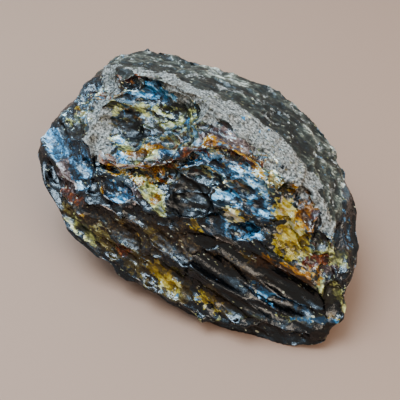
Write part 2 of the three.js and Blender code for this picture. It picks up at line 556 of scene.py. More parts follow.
STEPS = [
    # path, the side that drops, then the drop and its width in mm
    (SEAM, (0.2, -0.6, -0.5), 3.8, 7),
    (CROWN_CRACK, (0.3, -0.7, -0.5), 4.5, 6),
    (LEDGE, (0.1, -0.6, -0.8), 1.8, 5),
    (LEFT_SLOT, (0.5, 0.6, 0.3), 1.4, 3),
    (SHELL_RIDGE, (0, -0.6, -0.8), 1.4, 5),
    (SWEEP_RIDGE, (0, -0.6, -0.8), 1.2, 4),
    ([(-50, 9, 60), (-51, 3, 56), (-46, -6, 52)], (-0.9, -0.3, 0), 3.0, 7),
]
facing = skin_normals(lump, points)
for step in STEPS:
    step_down(points, facing, *step)

skin_normals(lump, points)
finish_with(lump, "REMESH", mode="VOXEL", voxel_size=SKIN_GRAIN)
points = skin_points(lump)
print("skin after the scars and steps:", len(points), "points")

# %% [markdown]
# ## The mosaic of chips
#
# Between the large scars the skin is a mosaic of small ones, and that mosaic is what makes
# raw amber glitter. Thousands of separate blows would take minutes. Instead, space is filled
# with a grid of cells, each with one blow at a random place in it. A bowl opens round every
# blow, and the skin follows whichever bowl is lowest, so neighbouring bowls meet in sharp
# ridges, as the chips do. The cells are longer along the layers in which the resin flowed,
# because it splits more easily that way. The random numbers come from the cell's own place,
# so they are the same every time.

# %% The mosaic of chips
LAYER_RUNS = [
    # a place, and the direction in which the layers run round it
    ((-52, -22, 39), (0.88, -0.47, -0.05)),
    ((-25, -8, 54), (0.85, 0.45, -0.1)),
    ((5, 5, 60), (0.9, 0.3, -0.3)),
    ((15, -15, 48), (0.85, 0.4, -0.3)),
    ((-10, -37, 28), (0.9, 0.1, -0.3)),
    ((40, -24, 20), (0.85, 0.2, -0.45)),
    ((60, 2, 28), (-0.3, 0.8, 0.4)),
    ((0, 35, 30), (0.9, 0.1, -0.3)),
]
SHORT = (1.9, 1.0, 0.9)  # how long a cell is along the layers, across them and between them
LONG = (7.0, 1.0, 1.0)
STEP_SHARE = 0.35  # how far chips differ in depth
LEAN_SHARE = 0.9  # how far their floors tip


def along_layers(points):
    """The points as measured along, across and between the layers of their own place."""
    middles = np.array([place for place, _ in LAYER_RUNS]) * MM
    nearest = np.linalg.norm(points[:, None] - middles, axis=2).argmin(axis=1)
    measured = np.empty_like(points)
    for number, (_, run) in enumerate(LAYER_RUNS):
        run = unit(run)
        across = unit(np.cross((0, 0, 1), run))
        axes = np.stack([run, across, np.cross(run, across)])
        measured[nearest == number] = points[nearest == number] @ axes.T
    return measured


def scatter(cells, count):
    """For each cell of a grid, that many numbers between 0 and 1 that look random. Any uneven
    numbers would do here: they only have to stir the cell's three places well."""
    mix = cells @ np.array([[127.1], [311.7], [74.7]]) + 19.19 * np.arange(1, count + 1)
    return np.modf(np.abs(np.sin(mix)) * 43758.5453)[0]


def mosaic(points, width, stretch):
    """The height of the lowest bowl at each point, from about 0 to 1, and two numbers of its
    chip's own, from 0 to 1: its shade, and its fate, which decides what it is made of."""
    spread = along_layers(points) / (width * MM * np.array(stretch))
    home = np.floor(spread)
    lowest = np.full(len(points), np.inf)
    shade = np.zeros(len(points))
    fate = np.zeros(len(points))
    for step in itertools.product((-1, 0, 1), repeat=3):
        cell = home + step
        luck = scatter(cell, 7)
        offset = spread - cell - luck[:, :3]
        lean = ((luck[:, 4:7] - 0.5) * offset).sum(axis=1)
        bowl = (offset**2).sum(axis=1) + STEP_SHARE * luck[:, 3] + LEAN_SHARE * lean
        lower = bowl < lowest
        lowest = np.where(lower, bowl, lowest)
        shade = np.where(lower, luck[:, 3], shade)
        fate = np.where(lower, luck[:, 4], fate)
    return lowest, shade, fate


def neighbour_sum(piece, values):
    """For each point, the sum of the values at the points that an edge joins to it."""
    ends = np.empty(len(piece.data.edges) * 2, int)
    piece.data.edges.foreach_get("vertices", ends)
    first, second = ends[::2], ends[1::2]
    total = np.empty_like(values)
    for column in range(values.shape[1]):
        total[:, column] = np.bincount(first, values[second, column], len(values))
        total[:, column] += np.bincount(second, values[first, column], len(values))
    return total


def soft_facing(piece, points, rounds):
    """The way the skin faces, evened out over a few millimetres, so that a chip at a sharp
    corner goes straight in and doesn't tear the corner into teeth."""
    facing = skin_normals(piece, points)
    for _ in range(rounds):
        facing = facing + neighbour_sum(piece, facing)
        facing /= np.linalg.norm(facing, axis=1, keepdims=True)
    return facing


# %% [markdown]
# A real chip can't be deeper than the resin behind it. Near the lump's sharp edges the wall is
# thin, and deep chips from both sides would leave fins and holes there. So the thickness is
# measured straight through the lump, and the chips get shallower where it is thin.

# %% Wall thickness
THICK_WALL = 20 * MM  # a wall this thick can lose a deep chip from each side
LOST_WALL = 0.1  # share of a thick wall that no chip may use
LEAST_STURDY = 0.05  # what is left of a chip's depth at the thinnest edge
WHOLE_ROUNDS = 24  # evening out the facing of the whole neighbourhood
WALL_ROUNDS = 8  # evening out the thickness


def wall_thickness(piece, points, facing):
    """How far it is straight through the lump from each point to the skin on its far side."""
    skin_normals(piece, points)
    solid = bmesh.new()
    solid.from_mesh(piece.data)
    tree = BVHTree.FromBMesh(solid)
    solid.free()
    through = []
    for spot, out in zip(points, facing):
        out = Vector(out)
        far = tree.ray_cast(Vector(spot) - out * SKIN_GRAIN / 2, -out)[3]
        through.append(far or 0)
    return np.array(through)


whole_facing = soft_facing(lump, points, rounds=WHOLE_ROUNDS)
thickness = wall_thickness(lump, points, whole_facing)
sturdy = np.clip(thickness / THICK_WALL - LOST_WALL, LEAST_STURDY, 1)[:, None]
joined = neighbour_sum(lump, np.ones((len(points), 1)))
for _ in range(WALL_ROUNDS):
    sturdy = neighbour_sum(lump, sturdy) / joined
sturdy = sturdy[:, 0]
print("thinnest and median wall, mm:", np.round(np.quantile(thickness, (0.01, 0.5)) / MM, 1))

# %% [markdown]
# Five sizes of chips are taken off in turn, the largest first. The smooth shells get long
# ones, the crust gets shallower ones than the fresh faces, and two edges that would turn into
# fins are spared about half of theirs.

# %% Striking the chips
EVENING = 2.4  # rounds of evening out the facing for each mm of a chip's width
THIN_EDGES = [
    ([(52, 22, 31), (56, 15, 29), (60, 8, 26), (63, 2, 22)], 11),
    ([(-68, 6, 45), (-66, -6, 42), (-66, -18, 37), (-63, -28, 33)], 11),
]
SPARED_SMOOTH = 0.9  # share of the rough chips' depth that each kind of place is spared
SPARED_CRUST = 0.6
SPARED_EDGE = 0.55
SUNK_SHARE = 0.9  # nine tenths of the skin go down, and the highest ridges rise a little
FOOT = 4 * MM  # chips are shallower this close to the table, so that the lump rests as before
LEAST_FOOT = 0.1  # what is left of their depth right on it


def full_inside(worth, gain):
    """A strength that is already 1 well before the middle of its place."""
    return np.clip(worth * gain, 0, 1)


crust = full_inside(np.maximum(strength(points, PLACES["crust"]), crust_strength(points)), 1.5)
smooth = full_inside(strength(points, PLACES["smooth"]), 2.5)
thin = full_inside(strength(points, THIN_EDGES), 2)
rough = (1 - SPARED_SMOOTH * smooth) * (1 - SPARED_CRUST * crust) * (1 - SPARED_EDGE * thin)
unchipped = points.copy()
CHIPS = [
    # width in mm, depth as a share of it, shape of the cells, where
    (10.0, 0.45, SHORT, rough),
    (7.0, 0.55, LONG, smooth),
    (4.8, 0.6, SHORT, rough),
    (2.4, 0.25, LONG, smooth),
    (2.2, 0.5, SHORT, rough),
]
above_table = np.clip(points[:, 2] / FOOT, LEAST_FOOT, 1)
heights, shades, fates = [], [], []
for width, share, stretch, where in CHIPS:
    facing = soft_facing(lump, points, rounds=round(width * EVENING))
    height, shade, fate = mosaic(points, width, stretch)
    height -= np.quantile(height, SUNK_SHARE)
    drop = share * width * MM * height * where * sturdy * above_table
    points += facing * drop[:, None]
    heights.append(height)
    shades.append(shade)
    fates.append(fate)
    deep = -np.quantile(drop, 0.05) / MM
    print("chips", width, "mm wide, mostly under", round(float(deep), 2), "mm deep")

# %% [markdown]
# ## Worn teeth
#
# Where chips meet at a corner of the block they leave thin teeth, and on a real lump those
# break off at the first touch. A point that stands out too far from its neighbours is a tooth,
# and it's worn back to the middle of them, many times over. The same is done to a fold, which
# is skin that two deep chips have pushed through each other. It clears the teeth but not every
# fold: small ones stay, and the count of points below shows how many.

# %% Worn teeth
WEAR_ROUNDS = 48
TOOTH = 0.08 * MM  # how far a point may stand out


def wear(piece, points, outward, rounds, tooth):
    """Wears back the points that stand out from their neighbours, and draws out the ones that
    face the wrong way. It gives how many of each the last round found."""
    for _ in range(rounds):
        middle = neighbour_sum(piece, points) / joined
        now = skin_normals(piece, points)
        standing = ((points - middle) * now).sum(axis=1) > tooth
        folded = (now * outward).sum(axis=1) < 0
        moved = standing | folded
        points[moved] = middle[moved]
    return int(standing.sum()), int(folded.sum())


last_found = wear(lump, points, whole_facing, WEAR_ROUNDS, TOOTH)
print("teeth and folds that the last round found:", last_found)

# %% [markdown]
# ## Grit
#
# The crust is the old outside of the lump, roughened in the ground: lumpy in patches of a
# few millimetres and gritty on top of that. The same two scales, much weaker, keep the
# glassy parts from looking machined.


# %% Grit
def fractal(points, patch, octaves):
    """Smooth random heights about -1 to 1, with bumps about as wide as patch."""
    measured = (points / (patch * MM)).tolist()
    return np.array([noise.fractal(place, 1.0, 2.0, octaves) for place in measured])


LUMP_PATCH, GRIT_PATCH = 6, 1.3  # mm across a lump and across a grain of grit
GLASS_LUMPS, CRUST_LUMPS = 0.1, 0.5  # mm of relief on the glass, and what the crust adds
GLASS_GRIT, CRUST_GRIT = 0.03, 0.2
WEATHERED = 0.25 * MM  # what the ground took off the crust
facing = skin_normals(lump, points)
lumpy = fractal(points, LUMP_PATCH, octaves=3) * MM
gritty = fractal(points, GRIT_PATCH, octaves=2) * MM
swell = lumpy * (GLASS_LUMPS + CRUST_LUMPS * crust)
swell += gritty * (GLASS_GRIT + CRUST_GRIT * crust)
swell -= WEATHERED * crust
points += facing * swell[:, None]

low, high = (np.array(corner) for corner in cad_box)
points = np.clip(points, low, high)
skin_normals(lump, points)
print("lump, mm:", np.round((points.max(axis=0) - points.min(axis=0)) / MM, 2))

# %% [markdown]
# ## Marking the skin
#
# The places and the shade of each chip go onto the mesh as attributes, one number a point.
# An attribute sticks to the surface whatever its shape, needs no unwrapping, and a shader
# can read it by name. Besides the places, "ridge" says how near the top of a ridge a point
# is, "slab", "chip" and "flake" are the shades of the large, middle and small chip there, and
# "fate" decides with the noises what a chip is made of. Rounds 1 and 3 of the chips, the long
# ones, give the smooth shells their ridges and shades, and rounds 0, 2 and 4 give all the
# rest. Then the skin is thinned where it is flat, and every edge that turns by more than
# thirty degrees is marked sharp, so that ridges stay crisp.

# %% Marking the skin
MOST_TRIANGLES = 190000
SHARP_RIDGE = math.radians(30)
CRUST_DUST = 0.3  # dust on the crust outside the dusty places


def mark(piece, name, values):
    """Stores one number for each point of a piece's mesh under a name."""
    stored = piece.data.attributes.new(name, "FLOAT", "POINT")
    stored.data.foreach_set("value", values.astype(np.float32))


for name, places in PLACES.items():
    worth = strength(unchipped, places)
    if name == "crust":
        worth = crust
    if name == "dust":
        worth = np.maximum(worth, CRUST_DUST * crust)
    mark(lump, name, worth)
heights = [height / np.ptp(height) for height in heights]
# ridge goes into the tone, where it paints ridges lighter and the pits between chips darker: painted
# shade
ridge = heights[2] + heights[4]
ridge += (heights[1] + heights[3] - ridge) * smooth
mark(lump, "ridge", (ridge - ridge.min()) / np.ptp(ridge))
for name, on_smooth, elsewhere in (("slab", 1, 0), ("chip", 1, 2), ("flake", 3, 4)):
    mark(lump, name, np.where(smooth > 0.5, shades[on_smooth], shades[elsewhere]))
mark(lump, "fate", (fates[0] + fates[2] + fates[4]) / 3)

finish_with(lump, "DECIMATE", ratio=MOST_TRIANGLES / (2 * len(lump.data.polygons)))
print("thinned to", len(lump.data.polygons), "faces")

shell = bmesh.new()
shell.from_mesh(lump.data)
for face in shell.faces:
    face.smooth = True
for edge in shell.edges:
    edge.smooth = edge.calc_face_angle(0) < SHARP_RIDGE
shell.to_mesh(lump.data)
shell.free()

# %% [markdown]
# ## Broken amber
#
# Resin bends light a little more than window glass does, with an index of 1.54. It swallows
# blue first, then green, so a thin splinter is honey, a centimetre is red-brown and the
# whole lump is black: that comes from absorption in the volume and not from paint. Blue
# amber also shows a dusty blue bloom where daylight strikes it, and the stain for it also
# carries a painted sheen, the sky's blue reflection painted into its colour. The crust lets
# no light in.
#
# The patterns come first: a soft noise each for stains, patches and grains, and two grids of
# chips, finer than the modelled ones and like them longer along the layers. A fourth noise
# bends their rows, so that they don't look like a grid.

# %% Patterns
amber = bpy.data.materials.new("broken_blue_amber")
amber.use_nodes = True
tree = amber.node_tree
tree.nodes.clear()
PER_METRE = 1000.0  # a texture's scale in repeats to the metre, for a pattern 1 mm wide
NOISES = [
    # mm across a blotch, detail and roughness
    ("fine", 2.2, 5.0, 0.65),
    ("wide", 7, 4.0, 0.6),
    ("grains", 0.9, 3.0, 0.7),
    ("stir", 3, 2.0, 0.5),
]
CHIP_GRAIN = 1.5  # mm across the smallest chips that the eye can count
SPLINTER_GRAIN = 0.5  # mm across the glitter between them
STIR = 1.6 * MM  # how far the rows of fine chips bend
LAYER_RUN = Vector((0.85, 0.25, -0.4))  # how most of the layers run
LAYER_SHAPE = (2.0, 1.0, 0.8)  # a fine chip's length along the layers, across and between them

place = add_node(tree, "ShaderNodeTexCoord").outputs["Object"]
noises = {}
for name, grain, detail, roughness in NOISES:
    noises[name] = add_node(
        tree, "ShaderNodeTexNoise",
        {"Vector": place, "Scale": PER_METRE / grain, "Detail": detail, "Roughness": roughness},
    ).outputs
fine, wide, grains = (noises[name]["Fac"] for name in ("fine", "wide", "grains"))
stirred = add_node(
    tree, "ShaderNodeVectorMath",
    {0: noises["stir"]["Color"], 1: (STIR, STIR, STIR), 2: place}, operation="MULTIPLY_ADD",
).outputs["Vector"]
layer_turn = LAYER_RUN.to_track_quat("X", "Z").to_euler()
layered = add_node(
    tree, "ShaderNodeMapping",
    {"Vector": stirred, "Rotation": layer_turn, "Scale": LAYER_SHAPE}, vector_type="TEXTURE",
).outputs["Vector"]
cells, splinters = (
    add_node(
        tree, "ShaderNodeTexVoronoi", {"Vector": layered, "Scale": PER_METRE / grain}
    ).outputs["Color"]
    for grain in (CHIP_GRAIN, SPLINTER_GRAIN)
)
cell, splinter = (
    add_node(tree, "ShaderNodeSeparateColor", {"Color": colours}).outputs
    for colours in (cells, splinters)
)
print("fine chips, mm across:", CHIP_GRAIN, "and", SPLINTER_GRAIN)

# %% [markdown]
# A stain ends where a chip ends, so each place's edge is moved in and out by the chip's luck,
# which comes from its fate, its fine cell and the fine noise, and then made crisp. The tone is
# the share of light or dark that every chip gets: partly a random shade from the modelled
# chips and the fine ones, and partly painted shade, with ridges lighter, the pits between chips
# darker and the smooth shells darker. All such numbers add up shares of several patterns, so
# one table holds the shares and one loop adds them.

# %% Stains and tones
marks = {
    name: add_node(tree, "ShaderNodeAttribute", attribute_name=name).outputs["Fac"]
    for name in (*PLACES, "ridge", "slab", "chip", "flake", "fate")
}
SHARES = {
    # what each number starts from, and the share of each pattern that is added to it
    "chip_luck": (-0.2, [(fine, 1.4), (cell["Blue"], 0.3), (marks["fate"], 0.8)]),
    # crust and dust go by patches and not by chips
    "patch_luck": (-0.9, [(wide, 2.2), (fine, 0.8)]),
    # painted shade: smooth shells are painted darker, for mirroring less of the window
    "tone_and_shade": (0.0, [
        (cell["Red"], 0.14), (splinter["Red"], 0.14),
        (marks["ridge"], 0.35), (marks["slab"], 0.2), (marks["chip"], 0.15),
        (marks["flake"], 0.12), (marks["smooth"], -0.09),
    ]),
    # in the motley places every chip has a hue of its own
    "hue": (0.0, [(cell["Green"], 0.4), (marks["fate"], 0.6)]),
    # about one splinter in fifty is a speck, and fewer where the shells are smooth
    "speck_limit": (0.98, [(marks["smooth"], 0.01)]),
}
CRISP = 0.07  # how much more it takes to be stained all through

sums = {}
for name, (total, shares) in SHARES.items():
    for pattern, share in shares:
        total = add_node(
            tree, "ShaderNodeMath", {0: pattern, 1: share, 2: total}, operation="MULTIPLY_ADD"
        ).outputs["Value"]
    sums[name] = total
# the tone holds each chip's random shade and painted shade: lighter ridges, darker pits
tone_and_shade = sums["tone_and_shade"]

# a chip's or a patch's luck, how much its place's strength counts, and the sum that stains it
BY_CHIP = (sums["chip_luck"], 1.0, 1.5)
BY_PATCH = (sums["patch_luck"], 1.5, 1.25)
worn = {}
for name in PLACES:
    luck, gain, limit = BY_PATCH if name in ("crust", "dust") else BY_CHIP
    edge = add_node(
        tree, "ShaderNodeMath", {0: marks[name], 1: gain, 2: luck}, operation="MULTIPLY_ADD"
    ).outputs["Value"]
    worn[name] = add_node(
        tree, "ShaderNodeMapRange", {"Value": edge, "From Min": limit, "From Max": limit + CRISP}
    ).outputs["Result"]

print("stains with an edge:", len(worn))

# %% [markdown]
# Two more marks go by single splinters. A glint is a painted highlight: a splinter that is
# one of the brightest by its tone and its own luck is painted pale, as if it faced the window.
# A speck goes by luck alone.

# %% Painted glints and specks
# painted highlight: these numbers decide which splinters get a painted glint
SPARKLE = 0.3  # how much a splinter's own luck counts for a glint
PAINTED_GLINT_LIMIT = 1.2  # tone above which a splinter is a glint
MOTLEY_PAINTED_GLINTS = -0.34  # the motley places glitter sooner
sparkle = add_node(
    tree, "ShaderNodeMath", {0: splinter["Green"], 1: SPARKLE, 2: tone_and_shade}, operation="MULTIPLY_ADD"
).outputs["Value"]
painted_glint_limit = add_node(
    tree, "ShaderNodeMath", {0: worn["motley"], 1: MOTLEY_PAINTED_GLINTS, 2: PAINTED_GLINT_LIMIT},
    operation="MULTIPLY_ADD",
).outputs["Value"]
worn["painted_glint"] = add_node(
    tree, "ShaderNodeMath", {0: sparkle, 1: painted_glint_limit}, operation="GREATER_THAN"
).outputs["Value"]
worn["speck"] = add_node(
    tree, "ShaderNodeMath", {0: splinter["Green"], 1: sums["speck_limit"]},
    operation="GREATER_THAN",
).outputs["Value"]
print("marks for the layers:", len(worn))

# %% [markdown]
# Each stain has a ramp of its own colours, from the darkest chip to the brightest, a share of
# light that it lets in, and a roughness. They are laid over the clear glass one by one, so a
# crack's red and the painted shade of its recess lie over the crust that they broke through.
# Only the motley places take two ramps, one for the hue of a chip and one that shades it by
# its tone, painted shade included.

# %% Layers
# motley shading by the tone, from the darkest chip to the brightest: partly each chip's own shade,
# partly painted shade from ridges and pits
SHADES = [
    (0.28, "#3a3a3a"), (0.4, "#7a7a7a"), (0.5, "#b0b0b0"), (0.6, "#e6e6e6"), (0.7, "#ffffff"),
]
# bare glass by its tone, from a dark chip that shows the dark inside to a pale one with a painted
# reflection of the room
GLASS_AND_PAINTED_REFLECTION = [
    (0.3, "#080c12"), (0.44, "#14202b"), (0.55, "#283a47"), (0.65, "#4d6474"), (0.77, "#8a9ea9"),
]
GLASS_CLEAR, GLASS_ROUGH = 0.8, 0.14  # share let through, and roughness
LAYERS = [
    # name, pattern, share let through, roughness, ramp
    # chips of every hue, from rust through straw and slate to pale blue
    ("motley", sums["hue"], 0.3, 0.25,
     [(0.24, "#6c3618"), (0.34, "#8a6a2c"), (0.42, "#c8c68c"), (0.49, "#587c80"),
      (0.56, "#375a6c"), (0.64, "#8ab4cc"), (0.72, "#c0a67c"), (0.8, "#8e5626")]),
    # the resin's dusty blue bloom together with a painted sheen: the sky's blue reflection painted
    # into its colour
    ("bloom_and_painted_sheen", tone_and_shade, 0.25, 0.14,
     [(0.32, "#08121b"), (0.44, "#152d3d"), (0.53, "#2e5974"), (0.62, "#6a9cbe"), (0.72, "#c8e5f4")]),
    # purple-grey clouded skin
    ("plum", tone_and_shade, 0.3, 0.2,
     [(0.32, "#150c0e"), (0.44, "#40302f"), (0.54, "#7a6865"), (0.65, "#b5aaa8"), (0.76, "#eee8e4")]),
    # the dull brown face under the ledge
    ("rind", grains, 0.3, 0.38,
     [(0.34, "#0d0a08"), (0.46, "#1d150e"), (0.56, "#362618"), (0.64, "#5c4a2c"), (0.74, "#988a5a")]),
    # clear brown resin, as strong tea
    ("tea", tone_and_shade, 0.6, 0.14,
     [(0.28, "#17100a"), (0.42, "#3a2c14"), (0.54, "#66552a"), (0.66, "#988a4c"), (0.76, "#cfc698")]),
    # crushed resin, olive to cream
    ("crumb", tone_and_shade, 0.2, 0.3,
     [(0.3, "#14140c"), (0.42, "#4a4828"), (0.52, "#989658"), (0.62, "#cecb92"), (0.73, "#f8f6e4")]),
    # clear yellow resin over a veil
    ("honey", tone_and_shade, 0.62, 0.1,
     [(0.28, "#5c4812"), (0.39, "#b09028"), (0.49, "#dcc858"), (0.59, "#f4ecb8"), (0.7, "#fdfbf0")]),
    # orange resin beside the seams
    ("ember", tone_and_shade, 0.6, 0.12,
     [(0.3, "#3e2206"), (0.41, "#905a10"), (0.52, "#ca9020"), (0.63, "#eac04c"), (0.75, "#fae8b0")]),
    # the old outside, grey-green and waxy
    ("crust", tone_and_shade, 0.0, 0.4,
     [(0.3, "#090d0c"), (0.42, "#181d1b"), (0.52, "#343832"), (0.61, "#62645a"), (0.72, "#b4b4a8")]),
    # beige earth, rubbed into the crust
    ("dust", grains, 0.0, 0.9,
     [(0.34, "#232220"), (0.44, "#56544f"), (0.54, "#7f7d77"), (0.66, "#aaa6a0")]),
    # resin that air has turned rust-red along a crack
    ("red", fine, 0.5, 0.2,
     [(0.36, "#120604"), (0.49, "#44180a"), (0.6, "#823a16"), (0.71, "#c88c48")]),
    # painted shade: cracks, the pocket and the recesses under overhangs painted nearly black over
    # deep clear resin
    ("painted_shade", tone_and_shade, 0.6, 0.34,
     [(0.34, "#020304"), (0.52, "#080c10"), (0.64, "#141e26"), (0.8, "#5a7382")]),
    # painted highlight: the brightest blue-white, painted on the crescents and shell edges that catch
    # the light
    ("painted_highlight", tone_and_shade, 0.1, 0.12,
     [(0.3, "#102c3e"), (0.44, "#326684"), (0.54, "#7fb2d2"), (0.64, "#e0f1fb")]),
    # single grains of every colour
    ("speck", splinter["Blue"], 0.1, 0.2,
     [(0.0, "#4c5a62"), (0.35, "#6c6848"), (0.65, "#aaa994"), (1.0, "#5a4c2c")]),
    # painted highlight: single splinters painted pale, as if they faced the window
    ("painted_glint", splinter["Blue"], 0.0, 0.2,
     [(0.0, "#86b4c8"), (0.35, "#c8dad6"), (0.65, "#e4e8dc"), (0.85, "#dccb8c"), (1.0, "#b08448")]),
]

colour = add_node(tree, "ShaderNodeValToRGB", {"Fac": tone_and_shade}, stops=GLASS_AND_PAINTED_REFLECTION).outputs["Color"]
clear, rough = GLASS_CLEAR, GLASS_ROUGH
for name, pattern, layer_clear, layer_rough, stops in LAYERS:
    stain = add_node(tree, "ShaderNodeValToRGB", {"Fac": pattern}, stops=stops).outputs["Color"]
    if name == "motley":
        shade = add_node(tree, "ShaderNodeValToRGB", {"Fac": tone_and_shade}, stops=SHADES).outputs["Color"]
        stain = add_node(
            tree, "ShaderNodeMix", {"Factor": 1.0, 6: stain, 7: shade},
            data_type="RGBA", blend_type="MULTIPLY",
        ).outputs[2]
    colour = add_node(
        tree, "ShaderNodeMix", {"Factor": worn[name], 6: colour, 7: stain}, data_type="RGBA"
    ).outputs[2]
    clear, rough = (
        add_node(tree, "ShaderNodeMix", {"Factor": worn[name], 2: under, 3: over}).outputs[0]
        for under, over in ((clear, layer_clear), (rough, layer_rough))
    )
print("layers over the glass:", [name for name, *_ in LAYERS])

# %% [markdown]
# A fresh scar is covered with hackles, which are hair-fine steps that run along the layers, so
# a stretched noise raises it a little. On top of that every fine chip is a small mirror that
# faces its own way: its normal is tipped by a random amount from its cell, less where the scar
# is one smooth shell.

# %% Facets that catch the light
HACKLE_GRAIN = 0.8  # mm between two hackles
HACKLE_SHARE = 0.25  # their height beside that of the fine noise
RELIEF = 0.3 * MM
RELIEF_STRENGTH = 0.6
SMOOTH_CALM = 0.3  # what is left of the tipping on the smooth shells
CHIP_TIP, SPLINTER_TIP = 0.22, 0.2  # how far the fine chips tip
hackle = add_node(
    tree, "ShaderNodeTexNoise",
    {"Vector": layered, "Scale": PER_METRE / HACKLE_GRAIN, "Detail": 2.0, "Roughness": 0.6},
).outputs["Fac"]
relief = add_node(
    tree, "ShaderNodeMath", {0: hackle, 1: HACKLE_SHARE, 2: fine}, operation="MULTIPLY_ADD"
).outputs["Value"]
grain = add_node(
    tree, "ShaderNodeBump", {"Height": relief, "Distance": RELIEF, "Strength": RELIEF_STRENGTH}
)
calm = add_node(
    tree, "ShaderNodeMapRange",
    {"Value": marks["smooth"], "From Min": 0, "From Max": 0.6, "To Min": 1, "To Max": SMOOTH_CALM},
).outputs["Result"]
tipped = grain.outputs["Normal"]
for facet, tip in ((cells, CHIP_TIP), (splinters, SPLINTER_TIP)):
    lean = add_node(
        tree, "ShaderNodeVectorMath", {0: facet, 1: (0.5, 0.5, 0.5)}, operation="SUBTRACT"
    ).outputs["Vector"]
    eased = add_node(
        tree, "ShaderNodeMath", {0: calm, 1: tip}, operation="MULTIPLY"
    ).outputs["Value"]
    lean = add_node(
        tree, "ShaderNodeVectorMath", {0: lean, "Scale": eased}, operation="SCALE"
    ).outputs["Vector"]
    tipped = add_node(
        tree, "ShaderNodeVectorMath", {0: tipped, 1: lean}, operation="ADD"
    ).outputs["Vector"]
tipped = add_node(tree, "ShaderNodeVectorMath", {0: tipped}, operation="NORMALIZE").outputs["Vector"]

# %% [markdown]
# Now everything comes together. The stains set the skin's colour, how much light it lets in
# and how rough it is, and the resin behind it swallows light with depth.

# %% Broken amber
AMBER_INDEX = 1.54  # how strongly fossil resin bends light
LET_THROUGH = (0.72, 0.54, 0.04, 1.0)  # red passes best, and blue hardly at all
SWALLOWED = 420.0  # to the metre: 2 mm are honey, a centimetre is red-brown, the lump is black
surface = add_node(
    tree, "ShaderNodeBsdfPrincipled",
    {"Base Color": colour, "Transmission Weight": clear, "Roughness": rough, "IOR": AMBER_INDEX,
     "Normal": tipped},
)
depth_tint = add_node(
    tree, "ShaderNodeVolumeAbsorption", {"Color": LET_THROUGH, "Density": SWALLOWED}
)
add_node(
    tree, "ShaderNodeOutputMaterial",
    {"Surface": surface.outputs["BSDF"], "Volume": depth_tint.outputs["Volume"]},
)
lump.data.materials.clear()
lump.data.materials.append(amber)
print("shader nodes:", len(tree.nodes))

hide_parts("amber_lump")
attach(lump, "root")

# %% [markdown]
# ## Veils of clouded resin
#
# The resin ran down the tree in many layers, and some of them are cloudy. A cloudy layer a
# millimetre or two under a clear face is what glows honey-yellow there, because light gets
# to it and back before the resin swallows it. Each veil is a grid trimmed to an oval, held
# over its face. Every point of it drops straight onto the skin and then goes in by its depth,
# so the veil follows the face above it. Smoothing takes the small chips out of it again, and
# a thin second skin closes it.

# %% Veils of clouded resin
VEIL_STEPS = 30
VEIL_THICKNESS = 0.25 * MM
VEIL_WAVE = 0.5 * MM
VEIL_PATCH = 4 * MM  # from one wave to the next
VEIL_SMOOTHINGS = 6
DROP_FROM = 5 * MM  # how far above its face a veil starts
LEAST_DEPTH = 0.7 * MM  # points of a veil that are less deep under its face are pushed in
NEAREST_SKIN = 0.45 * MM  # and points that are still this close to any skin are left out
VEILS = [
    # middle, facing, run, half length and half width in mm, depth below the skin in mm
    ((40, -6, 43), (0.5, -0.5, 0.7), (0.45, -0.5, -0.75), 13, 8, 1.3),
    ((44, -18, 27), (0.3, -0.85, 0.4), (0.9, 0.3, -0.2), 13, 4, 1.2),
    ((0, -39, 18), (0.1, -0.95, 0.2), (0.95, 0, -0.15), 17, 6, 1.9),
    ((31, -34, 14), (0.3, -0.8, 0.5), (0.7, 0, -0.5), 6, 4, 1.2),
    ((22, -17, 41), (0.3, -0.7, 0.6), (0.9, 0.1, -0.2), 5, 3.5, 1.1),
    ((14, -26, 37), (0.4, -0.7, 0.5), (0.3, -0.1, -0.6), 5, 3.5, 1.1),
    ((12, -7, 58), (0.1, -0.5, 0.85), (0.9, 0.3, -0.1), 9, 4, 1.1),
    ((-16, -26, 47), (0, -0.7, 0.7), (0.8, 0.1, 0.1), 9, 3, 1.1),
    ((-12, -37, 33), (0.1, -0.9, 0.4), (0.9, 0.1, -0.2), 5, 5, 1.2),
    ((-2, -36, 30), (0.2, -0.9, 0.4), (0.9, 0.1, -0.2), 6, 5, 1.2),
]
under = bmesh.new()
under.from_mesh(lump.data)
skin_tree = BVHTree.FromBMesh(under)
under.free()


def skin_above(spot, facing):
    """Where the skin lies over a spot, looking back along the way that its face faces."""
    return skin_tree.ray_cast(spot + facing * DROP_FROM, -facing)[0]


def sealed(spot, facing):
    """Whether a spot is inside the resin and deep enough, whichever way one looks."""
    _, outward, _, _ = skin_tree.ray_cast(spot, facing)
    _, _, _, nearest = skin_tree.find_nearest(spot)
    return outward is not None and outward.dot(facing) > 0 and nearest > NEAREST_SKIN


